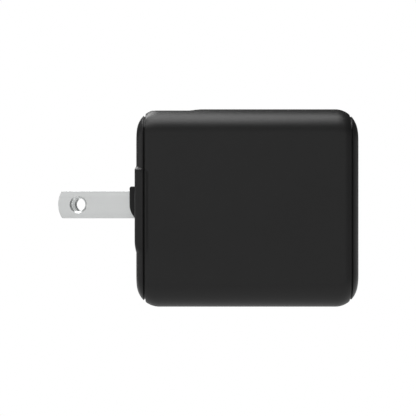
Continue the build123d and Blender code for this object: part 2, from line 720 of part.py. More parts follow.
X_CAP_X = 17.75
X_CAP_Z = -5.3
X_CAP_LONG = 7.7
X_CAP_WIDE = 4.6
X_CAP_TALL = 9.3
X_CAP_EDGE_R = 0.4
X_CAP_LEAD_STEP = 2.55

with BuildPart() as x_capacitor:
    base = BOARD_TOP + STAND_OFF
    block(
        X_CAP_X - X_CAP_LONG / 2, X_CAP_X + X_CAP_LONG / 2, base, base + X_CAP_TALL,
        X_CAP_Z - X_CAP_WIDE / 2, X_CAP_Z + X_CAP_WIDE / 2,
    )
    fillet(x_capacitor.edges().filter_by(Axis.Y), X_CAP_EDGE_R)
    for side in (-1, 1):
        round_bar(X_CAP_X + side * X_CAP_LEAD_STEP, X_CAP_Z, LEAD_R, BOARD_TOP, base)

finish(x_capacitor, "x_capacitor")

DISC_X = 28.5
DISC_Z = 13.2
DISC_R = 3.6
DISC_THICK = 2.6
DISC_EDGE_R = 0.9
DISC_LIFT = 4.2
DISC_LEAD_STEP = 2.0

with BuildPart() as y_capacitor:
    # a lacquered disc standing on edge
    with Locations(Location((DISC_X, BOARD_TOP + DISC_LIFT, DISC_Z), (0, 90, 0))):
        Cylinder(DISC_R, DISC_THICK)
    fillet(y_capacitor.edges(), DISC_EDGE_R)
    for side in (-1, 1):
        lead_z = DISC_Z + side * DISC_LEAD_STEP
        round_bar(DISC_X, lead_z, LEAD_R, BOARD_TOP, BOARD_TOP + DISC_LIFT / 2)

finish(y_capacitor, "y_capacitor")

FUSE_X = 28.2
FUSE_Y = BOARD_TOP + 1.9
FUSE_Z = -12.6
FUSE_R = 1.6
FUSE_LONG = 7.0
FUSE_EDGE_R = 0.5
FUSE_REACH = 4.7

with BuildPart() as fuse_resistor:
    with Locations(Location((FUSE_X, FUSE_Y, FUSE_Z), (0, 90, 0))):
        Cylinder(FUSE_R, FUSE_LONG)
    fillet(fuse_resistor.edges(), FUSE_EDGE_R)
    # a lead out of each end that turns down into the board
    for side in (-1, 1):
        outer = FUSE_X + side * FUSE_REACH
        leg = sorted((outer, outer - side * 2 * LEAD_R))
        arm = sorted((outer, FUSE_X + side * (FUSE_LONG / 2 - GAP)))
        for span, low in ((leg, BOARD_TOP), (arm, FUSE_Y - LEAD_R)):
            block(*span, low, FUSE_Y + LEAD_R, FUSE_Z - LEAD_R, FUSE_Z + LEAD_R)

finish(fuse_resistor, "fuse_resistor")

# chips on the solder side: rear X, front X, low Z, high Z, body thickness and legs along each side
CHIPS = {
    "bridge_rectifier": (13.2, 18.0, 8.5, 14.5, 1.6, 2),
    "controller_chip": (20.6, 24.6, -2.5, 2.5, 1.5, 4),
    "power_transistor": (18.0, 24.2, -14.6, -8.2, 2.3, 2),
    "optocoupler": (27.2, 31.8, -9.6, -3.2, 3.2, 2),
    "output_rectifier": (33.6, 38.6, 1.0, 7.0, 1.5, 4),
}
CHIP_STAND_OFF = 0.15
CHIP_EDGE = 0.25
CHIP_BODY_INSET = 0.9
CHIP_LEG_LONG = 1.2
CHIP_LEG_WIDE = 0.4
CHIP_LEG_THICK = 0.25

for chip_name, (rear, front, low, high, thick, legs) in CHIPS.items():
    with BuildPart() as chip:
        body_top = BOARD_UNDER - CHIP_STAND_OFF
        block(rear, front, body_top - thick, body_top, low + CHIP_BODY_INSET, high - CHIP_BODY_INSET)
        chamfer(chip.faces().sort_by(Axis.Y)[0].edges(), CHIP_EDGE)
        for leg in range(legs):
            leg_x = rear + (leg + 0.5) * (front - rear) / legs
            for leg_low, leg_high in ((low, low + CHIP_LEG_LONG), (high - CHIP_LEG_LONG, high)):
                block(
                    leg_x - CHIP_LEG_WIDE / 2, leg_x + CHIP_LEG_WIDE / 2,
                    body_top - CHIP_LEG_THICK, BOARD_UNDER, leg_low, leg_high,
                )
    finish(chip, chip_name)

# ======== insulation ========

SHEET_REAR = 10.0
SHEET_FRONT = 44.5
SHEET_LOW = -12.05
SHEET_THICK = 0.25
SHEET_HALF_TALL = 15.5

with BuildPart() as insulating_sheet:
    # a sheet under the solder side whose rear edge is folded up beside the board
    sheet_tall = (-SHEET_HALF_TALL, SHEET_HALF_TALL)
    block(SHEET_REAR, SHEET_FRONT, SHEET_LOW, SHEET_LOW + SHEET_THICK, *sheet_tall)
    block(SHEET_REAR, SHEET_REAR + SHEET_THICK, SHEET_LOW, BOARD_UNDER - 2 * STAND_OFF, *sheet_tall)

finish(insulating_sheet, "insulating_sheet")

THERMAL_HALF_LONG = 5.5
THERMAL_HALF_TALL = 7.0
THERMAL_CORNER_R = 0.8

with BuildPart() as thermal_pad:
    # fills the space between the transformer and the case wall
    block(
        CORE_MIDDLE - THERMAL_HALF_LONG, CORE_MIDDLE + THERMAL_HALF_LONG,
        COIL_Y + COIL_HALF_THICK + WINDOW_FIT + 2 * GAP, CAVITY_HALF_THICK - GAP,
        -THERMAL_HALF_TALL, THERMAL_HALF_TALL,
    )
    fillet(thermal_pad.edges().filter_by(Axis.Y), THERMAL_CORNER_R)

finish(thermal_pad, "thermal_pad")
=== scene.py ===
import json
from math import asin, cos, pi, radians, sin, sqrt

import bmesh
import bpy
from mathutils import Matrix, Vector


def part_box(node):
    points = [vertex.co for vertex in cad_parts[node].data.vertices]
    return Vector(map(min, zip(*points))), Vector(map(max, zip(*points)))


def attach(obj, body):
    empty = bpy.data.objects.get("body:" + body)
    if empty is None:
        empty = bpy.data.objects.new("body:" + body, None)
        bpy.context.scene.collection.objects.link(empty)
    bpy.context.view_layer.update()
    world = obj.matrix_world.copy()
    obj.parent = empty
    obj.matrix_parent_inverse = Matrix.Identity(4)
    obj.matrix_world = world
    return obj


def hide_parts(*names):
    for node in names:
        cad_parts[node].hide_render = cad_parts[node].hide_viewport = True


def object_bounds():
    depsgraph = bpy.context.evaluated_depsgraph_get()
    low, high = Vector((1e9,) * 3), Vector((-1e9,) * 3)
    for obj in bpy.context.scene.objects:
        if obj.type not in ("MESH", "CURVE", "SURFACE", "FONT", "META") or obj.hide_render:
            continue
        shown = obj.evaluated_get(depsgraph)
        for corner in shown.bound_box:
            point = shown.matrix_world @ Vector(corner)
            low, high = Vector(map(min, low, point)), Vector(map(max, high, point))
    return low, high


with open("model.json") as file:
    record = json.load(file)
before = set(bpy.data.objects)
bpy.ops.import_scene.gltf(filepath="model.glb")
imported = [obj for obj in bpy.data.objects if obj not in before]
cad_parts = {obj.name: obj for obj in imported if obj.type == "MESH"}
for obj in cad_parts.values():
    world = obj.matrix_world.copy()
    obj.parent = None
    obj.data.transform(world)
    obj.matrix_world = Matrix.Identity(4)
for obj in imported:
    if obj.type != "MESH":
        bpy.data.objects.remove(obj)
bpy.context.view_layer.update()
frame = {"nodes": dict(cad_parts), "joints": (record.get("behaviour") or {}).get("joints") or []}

# A two-socket USB wall charger. X runs from the wall to the sockets, Y is the thickness, Z is up.
# Everything is in metres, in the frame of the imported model.

MM = 0.001

# ---- the case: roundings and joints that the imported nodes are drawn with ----
PAD_PROUD = 0.3 * MM
PAD_SIDE = 0.22 * MM
PAD_EDGE_R = 0.5 * MM
PAD_FULL_TOP = 8.6 * MM
PAD_TOP = 9.6 * MM
PAD_FULL_BOTTOM = -7.3 * MM
PAD_BOTTOM = -10.1 * MM
PAD_SLANT = 0.4
PAD_FLAT_END = 2.5 * MM
PAD_FADE_END = 3.1 * MM
CORNER_LONG = 5.1 * MM
CORNER_TALL = 5.4 * MM
REAR_EDGE = 1.8 * MM
FRONT_EDGE = 3.6 * MM
LONG_EDGE_R = 5.75 * MM
REAR_CORNER_R = 4.2 * MM
REAR_CAP_DEPTH = 1.6 * MM
FRONT_CAP_DEPTH = 1.5 * MM
LIP_R = 0.13 * MM
STEP_DEPTH = 0.4 * MM
STEP_FRONT = 12.3 * MM
STEP_RAMP = 2.5 * MM

SLEEVE_LOW, SLEEVE_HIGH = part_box("main_sleeve")
REAR_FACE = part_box("rear_cap")[0][0] + PAD_PROUD
FRONT_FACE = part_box("front_cap")[1][0]
HUB_LOW, HUB_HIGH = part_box("plug_hub")
BLADE_LOW, BLADE_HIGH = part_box("line_blade")
HALF_TALL = SLEEVE_HIGH[2]
HALF_THICK = SLEEVE_HIGH[1] - PAD_SIDE
REAR_CAP_END = REAR_FACE + REAR_CAP_DEPTH
FRONT_CAP_END = FRONT_FACE - FRONT_CAP_DEPTH
PIVOT = Vector(frame["joints"][0]["pos_m"])


# ======== small mesh tools ========


def spread(start, end, count):
    """count + 1 evenly spaced values from start to end."""
    return [start + (end - start) * step / count for step in range(count + 1)]


def quarter_turn(count):
    """count + 1 angles from nothing to a right angle."""
    return spread(0, pi / 2, count)


def add_object(name, mesh):
    piece = bpy.data.objects.new(name, mesh)
    bpy.context.scene.collection.objects.link(piece)
    return piece


def mesh_from_rings(name, rings, closed=False):
    """Joins rings of equal length into a skin. An open stack gets a flat face at each end."""
    work = bmesh.new()
    made = [[work.verts.new(point) for point in ring] for ring in rings]
    pairs = list(zip(made, made[1:]))
    if closed:
        pairs.append((made[-1], made[0]))
    for first, second in pairs:
        count = len(first)
        for index in range(count):
            following = (index + 1) % count
            work.faces.new((first[index], first[following], second[following], second[index]))
    if not closed:
        work.faces.new(list(reversed(made[0])))
        work.faces.new(made[-1])
    bmesh.ops.recalc_face_normals(work, faces=work.faces)
    mesh = bpy.data.meshes.new(name)
    work.to_mesh(mesh)
    work.free()
    return add_object(name, mesh)


def shade_by_angle(piece, degrees=32):
    """Smooth faces whose large flat neighbours stay flat, with sharper edges kept crisp."""
    work = bmesh.new()
    work.from_mesh(piece.data)
    for face in work.faces:
        face.smooth = True
    for edge in work.edges:
        edge.smooth = edge.is_manifold and edge.calc_face_angle(0.0) < radians(degrees)
    work.to_mesh(piece.data)
    work.free()
    weighted = piece.modifiers.new("weighted", "WEIGHTED_NORMAL")
    weighted.keep_sharp = True
    apply_modifiers(piece)


def apply_modifiers(piece):
    """Turns a piece's modifiers into its mesh."""
    graph = bpy.context.evaluated_depsgraph_get()
    finished = bpy.data.meshes.new_from_object(piece.evaluated_get(graph))
    piece.modifiers.clear()
    piece.data = finished


def combine(piece, cutters, operation):
    """Joins cutters to a piece or cuts them out of it, and removes them."""
    for cutter in cutters:
        change = piece.modifiers.new("combine", "BOOLEAN")
        change.operation = operation
        change.solver = "EXACT"
        change.object = cutter
    apply_modifiers(piece)
    for cutter in cutters:
        bpy.data.objects.remove(cutter)


def soften_edges(piece, width, segments=2, degrees=40):
    """A small rounding on every crisp edge."""
    rounding = piece.modifiers.new("soften", "BEVEL")
    rounding.width = width
    rounding.segments = segments
    rounding.limit_method = "ANGLE"
    rounding.angle_limit = radians(degrees)
    rounding.use_clamp_overlap = True
    apply_modifiers(piece)


def box_piece(name, low, high):
    """A plain block between two corners, used only for joining and cutting."""
    x_low, y_low, z_low = low
    x_high, y_high, z_high = high
    outline = [(y_low, z_low), (y_high, z_low), (y_high, z_high), (y_low, z_high)]
    return mesh_from_rings(name, [[(x, y, z) for y, z in outline] for x in (x_low, x_high)])


def turned_piece(name, x, z, profile, count=64):
    """A body of revolution about the line along Y through (x, z), from (y, radius) pairs."""
    rings = []
    for y, radius in profile:
        turns = spread(0, 2 * pi, count)[:-1]
        rings.append([(x + radius * cos(turn), y, z + radius * sin(turn)) for turn in turns])
    return mesh_from_rings(name, rings)


def inset_outline(points, amount):
    """Moves each point of an outline that runs anticlockwise in (x, z) inwards by amount."""
    moved = []
    count = len(points)
    for index, (x, z) in enumerate(points):
        before = Vector(points[index - 1])
        after = Vector(points[(index + 1) % count])
        along = (after - before).normalized()
        moved.append((x - along.y * amount, z + along.x * amount))
    return moved


def slab_piece(name, outline, y_low, y_high, edge_r, steps=4):
    """An outline in (x, z) made solid between two y levels, with rounded edges all round."""
    rings = []
    for turn in quarter_turn(steps):
        inner = inset_outline(outline, edge_r * (1 - sin(turn)))
        rings.append([(x, y_low + edge_r * (1 - cos(turn)), z) for x, z in inner])
    for turn in reversed(quarter_turn(steps)):
        inner = inset_outline(outline, edge_r * (1 - sin(turn)))
        rings.append([(x, y_high - edge_r * (1 - cos(turn)), z) for x, z in inner])
    return mesh_from_rings(name, rings)


# ======== case ========

CORNER_STEPS = 14
FLAT_STEPS = 8
SIDE_LEVELS = 5
LIP_STEPS = 4


def side_levels(end):
    """Heights up a straight side, close together where the rear pad swells and fades."""
    inner = (
        spread(PAD_BOTTOM, PAD_FULL_BOTTOM, 8)
        + spread(PAD_FULL_BOTTOM, PAD_FULL_TOP - PAD_SLANT * PAD_FADE_END, 8)[1:]
        + spread(PAD_FULL_TOP - PAD_SLANT * PAD_FADE_END, PAD_TOP, 12)[1:]
    )
    below = spread(-end, PAD_BOTTOM, SIDE_LEVELS)[:-1]
    above = spread(PAD_TOP, end, SIDE_LEVELS)[1:]
    return below + inner + above


def case_ring(x, half_thick, half_tall, corner):
    """A rounded rectangle across the case, as a ring of points that starts low on the +Y side."""
    across = half_thick - corner
    up = half_tall - corner
    levels = side_levels(up)
    points = [(half_thick, level) for level in levels]
    turns = quarter_turn(CORNER_STEPS)[1:-1]
    points += [(across + corner * cos(turn), up + corner * sin(turn)) for turn in turns]
    flat = spread(across, -across, FLAT_STEPS)
    points += [(y, half_tall) for y in flat]
    points += [(-across - corner * sin(turn), up + corner * cos(turn)) for turn in turns]
    points += [(-half_thick, level) for level in reversed(levels)]
    points += [(-across - corner * cos(turn), -up - corner * sin(turn)) for turn in turns]
    points += [(y, -half_tall) for y in reversed(flat)]
    points += [(across + corner * sin(turn), -up - corner * cos(turn)) for turn in turns]
    return [Vector((x, y, z)) for y, z in points]


def case_section(x):
    """Half thickness, half height and corner radius of the outside of the case at x."""
    rear = x < (REAR_FACE + FRONT_FACE) / 2
    depth = max(x - REAR_FACE if rear else FRONT_FACE - x, 0.0)
    edge_round = REAR_EDGE if rear else FRONT_EDGE
    share = 1 - min(depth / CORNER_LONG, 1)
    drop = CORNER_TALL * (1 - sqrt(1 - share**2))
    edge_share = 1 - min(depth / edge_round, 1)
    inset = edge_round * (1 - sqrt(1 - edge_share**2))
    narrowed = (LONG_EDGE_R - REAR_CORNER_R) * share**2 if rear else 0
    return HALF_THICK - inset, HALF_TALL - drop, LONG_EDGE_R - narrowed - inset


def outside_ring(x, inset=0.0):
    """The case's outline at x, drawn in by inset."""
    half_thick, half_tall, corner = case_section(x)
    return case_ring(x, half_thick - inset, half_tall - inset, corner - inset)


def lip_rings(end_x, inward):
    """The rounded lip beside a groove, from the end face outwards."""
    turns = quarter_turn(LIP_STEPS)
    return [outside_ring(end_x + inward * LIP_R * (1 - cos(t)), LIP_R * (1 - sin(t))) for t in turns]


def pad_swell(height):
    """How far the rear pad stands out at this height, from 0 at its two ends to 1 over its middle."""
    below = min(max((PAD_FULL_BOTTOM - height) / (PAD_FULL_BOTTOM - PAD_BOTTOM), 0), 1)
    above = min(max((PAD_TOP - height) / (PAD_TOP - PAD_FULL_TOP), 0), 1)
    return (1 - below**2) * above**2 * (3 - 2 * above)


def step_top(x):
    """The height that the shallow step in the top leaves at x."""
    ramp = min(max((x - STEP_FRONT) / STEP_RAMP, 0), 1)
    return HALF_TALL - STEP_DEPTH * (1 - ramp)


def shape_sleeve(ring):
    """Gives one outer ring of the sleeve its pad ends and its shallow top step."""
    shaped = []
    for x, y, z in ring:
        fade = min(max((PAD_FADE_END - x) / (PAD_FADE_END - PAD_FLAT_END), 0), 1)
        swell = PAD_SIDE * fade * pad_swell(z + PAD_SLANT * (x - REAR_FACE))
        shaped.append(Vector((x, y + (swell if y > 0 else -swell), min(z, step_top(x)))))
    return shaped


# half thickness, half height and corner radius of the hollow through the sleeve
CAVITY = (12.1 * MM, 20.9 * MM, 4.2 * MM)


def make_sleeve():
    """The hollow sleeve, as rings along X that close back through the hollow."""
    rear = SLEEVE_LOW[0]
    front = SLEEVE_HIGH[0]
    stations = spread(rear + LIP_R, PAD_FADE_END, 6)[1:]
    stations += spread(PAD_FADE_END, REAR_FACE + CORNER_LONG, 12)[1:]
    stations += spread(REAR_FACE + CORNER_LONG, STEP_FRONT, 4)[1:]
    stations += spread(STEP_FRONT, STEP_FRONT + STEP_RAMP, 4)[1:]
    stations += spread(STEP_FRONT + STEP_RAMP, FRONT_FACE - CORNER_LONG, 12)[1:]
    stations += spread(FRONT_FACE - CORNER_LONG, front - LIP_R, 16)[1:-1]
    rings = [shape_sleeve(ring) for ring in lip_rings(rear, 1)]
    rings += [shape_sleeve(outside_ring(x)) for x in stations]
    rings += list(reversed(lip_rings(front, -1)))
    rings += [case_ring(front, *CAVITY), case_ring(rear, *CAVITY)]
    piece = mesh_from_rings("sleeve_shell", rings, closed=True)
    shade_by_angle(piece)
    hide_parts("main_sleeve")
    return piece


SPIGOT_LONG = 4.0 * MM
# half thickness, half height and corner radius of the ring that holds a cap in the sleeve
SPIGOT_OUT = (12.05 * MM, 20.85 * MM, 4.15 * MM)
SPIGOT_IN = (10.85 * MM, 19.65 * MM, 2.95 * MM)
PLATE_MIDDLE = (5.4 * MM, 12.0 * MM, 1.5 * MM)
FACE_STEPS = 14
FACE_INSETS = (0.4 * MM, 1.2 * MM)
LEAST_FACE_CORNER = 0.6 * MM


def make_cap(name, face, inner, outward):
    """An end cap: its inner plate and spigot ring, the lip beside the groove, then the softened face."""
    spigot_end = inner - outward * SPIGOT_LONG
    rings = [
        case_ring(inner, *PLATE_MIDDLE),
        case_ring(inner, *SPIGOT_IN),
        case_ring(spigot_end, *SPIGOT_IN),
        case_ring(spigot_end, *SPIGOT_OUT),
        case_ring(inner, *SPIGOT_OUT),
    ]
    rings += lip_rings(inner, outward)
    depth_left = abs(face - inner) - LIP_R
    for turn in quarter_turn(FACE_STEPS)[1:]:
        rings.append(outside_ring(face - outward * depth_left * (1 - sin(turn))))
    half_thick, half_tall, corner = case_section(face)
    for inset in FACE_INSETS:
        inner_corner = max(corner - inset, LEAST_FACE_CORNER)
        rings.append(case_ring(face, half_thick - inset, half_tall - inset, inner_corner))
    return mesh_from_rings(name, rings)


# the pad's ends lie this share of its swell inside the case, so that no faces coincide
PAD_SINK = 0.03
PAD_EDGE_STEPS = 10


def make_pad():
    """The low band across the rear face that wraps round both edges, as levels of one swelling outline."""
    levels = spread(PAD_BOTTOM, PAD_FULL_BOTTOM, 10)
    levels += spread(PAD_FULL_BOTTOM, PAD_FULL_TOP, 6)[1:]
    levels += spread(PAD_FULL_TOP, PAD_TOP, 12)[1:]
    rings = []
    for level in levels:
        swell = pad_swell(level) * (1 + PAD_SINK) - PAD_SINK
        rear = REAR_FACE - swell * PAD_PROUD
        side = HALF_THICK + swell * PAD_SIDE
        round_r = REAR_EDGE + swell * (PAD_EDGE_R - REAR_EDGE)
        curve_end = min(rear + round_r, REAR_CAP_END - 2 * LIP_R)
        outline = []
        for turn in quarter_turn(LIP_STEPS):
            outline.append((REAR_CAP_END - LIP_R * (1 - cos(turn)), side - LIP_R * (1 - sin(turn))))
        for turn in quarter_turn(PAD_EDGE_STEPS):
            x = curve_end + (rear - curve_end) * sin(turn)
            along = 1 - (x - rear) / round_r
            outline.append((x, side - round_r * (1 - sqrt(1 - along * along))))
        outline += [(x, -y) for x, y in reversed(outline)]
        slant = PAD_SLANT * min(max((level - PAD_FULL_BOTTOM) / (PAD_FULL_TOP - PAD_FULL_BOTTOM), 0), 1)
        rings.append([Vector((x, y, level - slant * (x - rear))) for x, y in outline])
    return mesh_from_rings("rear_pad", rings)


OPENING_HALF_WIDE = 8.8 * MM
DRUM_CLEAR_R = 4.65 * MM
OPENING_TOP = PIVOT.z + 4.25 * MM
OPENING_BOTTOM = PIVOT.z - DRUM_CLEAR_R
BLADE_Y = -(BLADE_LOW[1] + BLADE_HIGH[1]) / 2
BLADE_THICK = BLADE_HIGH[1] - BLADE_LOW[1]
BLADE_WIDE = BLADE_HIGH[2] - BLADE_LOW[2]
BLADE_REACH = PIVOT.x - BLADE_LOW[0]
SLOT_SIDE_FIT = 0.3 * MM
SLOT_END_FIT = 0.25 * MM
SLOT_HALF_WIDE = BLADE_THICK / 2 + SLOT_SIDE_FIT
SLOT_FLOOR = PIVOT.x + BLADE_WIDE / 2 + SLOT_END_FIT
SLOT_BOTTOM = PIVOT.z - BLADE_REACH - SLOT_END_FIT
TROUGH_WALL = 1.0 * MM
TROUGH_SINK = 0.5 * MM
TROUGH_END_GAP = 0.3 * MM
DRUM_OVERLAP = 0.01 * MM
CUTTER_REAR = -2 * MM
SLOT_CUTTER_REAR = -2.5 * MM
REAR_EDGE_SOFT = 0.12 * MM


def make_rear_cap():
    """The rear cap with its pad, the troughs behind the blade slots and the hub's opening."""
    piece = make_cap("rear_cap_shell", REAR_FACE, REAR_CAP_END, -1)
    troughs = []
    for middle in (-BLADE_Y, BLADE_Y):
        reach = SLOT_HALF_WIDE + TROUGH_WALL
        low = (REAR_CAP_END - TROUGH_SINK, middle - reach, -SPIGOT_OUT[1] + TROUGH_END_GAP)
        high = (SLOT_FLOOR + TROUGH_WALL, middle + reach, OPENING_BOTTOM)
        troughs.append(box_piece("trough", low, high))
    combine(piece, [make_pad()] + troughs, "UNION")
    opening_low = (CUTTER_REAR, -OPENING_HALF_WIDE, OPENING_BOTTOM)
    opening_high = (PIVOT.x, OPENING_HALF_WIDE, OPENING_TOP)
    drum_reach = OPENING_HALF_WIDE + DRUM_OVERLAP
    drum = [(-drum_reach, DRUM_CLEAR_R), (drum_reach, DRUM_CLEAR_R)]
    cutters = [
        box_piece("opening", opening_low, opening_high),
        turned_piece("drum_relief", PIVOT.x, PIVOT.z, drum),
    ]
    for middle in (-BLADE_Y, BLADE_Y):
        low = (SLOT_CUTTER_REAR, middle - SLOT_HALF_WIDE, SLOT_BOTTOM)
        high = (SLOT_FLOOR, middle + SLOT_HALF_WIDE, PIVOT.z)
        cutters.append(box_piece("slot", low, high))
    combine(piece, cutters, "DIFFERENCE")
    soften_edges(piece, REAR_EDGE_SOFT)
    shade_by_angle(piece)
    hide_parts("rear_cap")
    return piece


MOUTH_LIP = 0.35 * MM
MOUTH_FIT = 0.15 * MM
MOUTH_CORNER = 0.85 * MM
MOUTH_DEPTH = 1 * MM
MOUTH_OVERSHOOT = 0.5 * MM
MOUTH_STEPS = 6


def mouth_cutter(shell):
    """The hole for one socket shell, flared by a rounded lip where it meets the face."""
    low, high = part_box(shell)
    middle_z = (low[2] + high[2]) / 2
    half_wide = high[1] + MOUTH_FIT
    half_tall = (high[2] - low[2]) / 2 + MOUTH_FIT
    profile = [(FRONT_CAP_END - MOUTH_DEPTH, 0.0), (FRONT_FACE - MOUTH_LIP, 0.0)]
    for turn in quarter_turn(MOUTH_STEPS)[1:]:
        profile.append((FRONT_FACE - MOUTH_LIP * (1 - sin(turn)), MOUTH_LIP * (1 - cos(turn))))
    profile.append((FRONT_FACE + MOUTH_OVERSHOOT, MOUTH_LIP))
    rings = []
    for x, flare in profile:
        ring = []
        for quarter, (side, end) in enumerate(((1, 1), (-1, 1), (-1, -1), (1, -1))):
            for turn in quarter_turn(MOUTH_STEPS):
                around = turn + quarter * pi / 2
                y = side * (half_wide - MOUTH_CORNER) + (MOUTH_CORNER + flare) * cos(around)
                z = end * (half_tall - MOUTH_CORNER) + (MOUTH_CORNER + flare) * sin(around)
                ring.append(Vector((x, y, middle_z + z)))
        rings.append(ring)
    return mesh_from_rings("mouth_cutter", rings)


def make_front_cap():
    """The front cap with a mouth for each socket."""
    piece = make_cap("front_cap_shell", FRONT_FACE, FRONT_CAP_END, 1)
    combine(piece, [mouth_cutter("usb_shell_upper"), mouth_cutter("usb_shell_lower")], "DIFFERENCE")
    shade_by_angle(piece)
    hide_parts("front_cap")
    return piece


# ======== folding plug ========

BLADE_TIP_R = 5.9 * MM
BLADE_CORNER = 0.3 * MM
# the corner curve's end and its control point, as shares of BLADE_CORNER beyond the tip's arc
CORNER_RUN = 1.6
CORNER_PULL = 0.35
TIP_STEPS = 16
BLADE_EDGE_R = 0.13 * MM
BLADE_HOLE_R = 3.175 / 2 * MM
BLADE_HOLE_REACH = 16.35 * MM
HOLE_CHAMFER = 0.4 * MM
ROOT_END = 2.5 * MM
TAIL_HALF_TALL = 0.7 * MM
BLADE_CRISP_DEGREES = 28


def blade_outline():
    """The side view of a blade, anticlockwise in (x, z): the tip's arc, two corners, then the tail."""
    half = BLADE_WIDE / 2
    tip = BLADE_LOW[0]
    reach = asin((half - BLADE_CORNER) / BLADE_TIP_R)
    arc = [(tip + BLADE_TIP_R * (1 - cos(a)), BLADE_TIP_R * sin(a)) for a in spread(-reach, reach, TIP_STEPS)]
    arc_end = Vector(arc[-1])
    straight_start = Vector((arc_end.x + CORNER_RUN * BLADE_CORNER, half))
    corner_point = Vector((arc_end.x + CORNER_PULL * BLADE_CORNER, half))
    corner = []
    for share in spread(0, 1, 5)[1:]:
        back = 1 - share
        corner.append(arc_end * back**2 + corner_point * 2 * share * back + straight_start * share**2)
    upper = [(point.x, point.y) for point in corner]
    root = PIVOT.x + ROOT_END
    upper += [(x, half) for x in spread(upper[-1][0], root, 8)[1:]]
    upper += [(root, TAIL_HALF_TALL), (BLADE_HIGH[0], TAIL_HALF_TALL)]
    lower = [(x, -z) for x, z in reversed(upper)]
    clockwise = arc + upper + lower
    return [(x, PIVOT.z + z) for x, z in reversed(clockwise)]


def make_blade(name, node_name):
    """One blade, with the chamfered hole through it."""
    low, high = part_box(node_name)
    piece = slab_piece(name, blade_outline(), low[1], high[1], BLADE_EDGE_R)
    rim = BLADE_HOLE_R + HOLE_CHAMFER
    profile = [
        (low[1] - HOLE_CHAMFER, rim + HOLE_CHAMFER),
        (low[1] + HOLE_CHAMFER, BLADE_HOLE_R),
        (high[1] - HOLE_CHAMFER, BLADE_HOLE_R),
        (high[1] + HOLE_CHAMFER, rim + HOLE_CHAMFER),
    ]
    combine(piece, [turned_piece("hole", PIVOT.x - BLADE_HOLE_REACH, PIVOT.z, profile)], "DIFFERENCE")
    shade_by_angle(piece, BLADE_CRISP_DEGREES)
    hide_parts(node_name)
    return piece


HUB_R = PIVOT.x - HUB_LOW[0]
HUB_TOP = HUB_HIGH[2] - PIVOT.z
HUB_HALF_WIDE = 8.6 * MM
HUB_EDGE_R = 0.5 * MM
HUB_END_R = 0.3 * MM
TRUNNION_R = 1.5 * MM
DETENT_R = 1.1 * MM
DETENT_OFFSET = HUB_R + 0.7 * MM
DETENT_HALF_WIDE = 2.8 * MM
POCKET_FIT = 0.02 * MM
DRUM_STEPS = 56
PIN_STEPS = 32


def hub_outline():
    """The hub's side view, anticlockwise: a drum whose upper outer quarter is square."""
    start = asin(HUB_TOP / HUB_R)
    corner_x = HUB_EDGE_R - HUB_R
    corner_z = HUB_TOP - HUB_EDGE_R
    points = [(x, HUB_TOP) for x in spread(HUB_R * cos(start), corner_x, 6)]
    for turn in quarter_turn(6)[1:]:
        points.append((corner_x - HUB_EDGE_R * sin(turn), corner_z + HUB_EDGE_R * cos(turn)))
    points += [(-HUB_R, z) for z in spread(corner_z, 0, 4)[1:]]
    round_part = spread(pi, 2 * pi + start, DRUM_STEPS)[1:-1]
    points += [(HUB_R * cos(turn), HUB_R * sin(turn)) for turn in round_part]
    return [(PIVOT.x + x, PIVOT.z + z) for x, z in points]


def make_hub():
    """The hub, with its trunnions, two detent grooves and the pockets that hold the blades."""
    piece = slab_piece("hub_drum", hub_outline(), -HUB_HALF_WIDE, HUB_HALF_WIDE, HUB_END_R)
    trunnion = [(HUB_LOW[1], TRUNNION_R), (HUB_HIGH[1], TRUNNION_R)]
    combine(piece, [turned_piece("trunnions", PIVOT.x, PIVOT.z, trunnion, PIN_STEPS)], "UNION")
    cutters = []
    for along, up in ((1, 0), (0, -1)):
        groove = [(-DETENT_HALF_WIDE, DETENT_R), (DETENT_HALF_WIDE, DETENT_R)]
        groove_x = PIVOT.x + along * DETENT_OFFSET
        groove_z = PIVOT.z + up * DETENT_OFFSET
        cutters.append(turned_piece("detent_groove", groove_x, groove_z, groove, PIN_STEPS))
    half_thick = BLADE_THICK / 2 + POCKET_FIT
    for middle in (-BLADE_Y, BLADE_Y):
        wide_low = (PIVOT.x - 2 * HUB_R, middle - half_thick, PIVOT.z - BLADE_WIDE / 2 - POCKET_FIT)
        wide_high = (PIVOT.x + ROOT_END, middle + half_thick, PIVOT.z + BLADE_WIDE / 2 + POCKET_FIT)
        cutters.append(box_piece("root_pocket", wide_low, wide_high))
        tail_low = (PIVOT.x, middle - half_thick, PIVOT.z - TAIL_HALF_TALL - POCKET_FIT)
        tail_high = (PIVOT.x + 2 * HUB_R, middle + half_thick, PIVOT.z + TAIL_HALF_TALL + POCKET_FIT)
        cutters.append(box_piece("tail_pocket", tail_low, tail_high))
    combine(piece, cutters, "DIFFERENCE")
    shade_by_angle(piece)
    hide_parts("plug_hub")
    return piece


# ======== spring fingers inside each socket shell ========

SHELL_WALL = 0.3 * MM
FINGER_WIDE = 1.7 * MM
FINGER_THICK = 0.22 * MM
WINDOW_START = 5.0 * MM
FINGER_EDGE_SOFT = 0.04 * MM
# each finger's middle line in millimetres: distance from the window's rear edge, and depth below the wall
FINGER_PATH = ((0.0, 0.0), (0.8, 0.03), (1.8, 0.16), (2.8, 0.33), (3.3, 0.38), (3.8, 0.33), (4.3, 0.16))


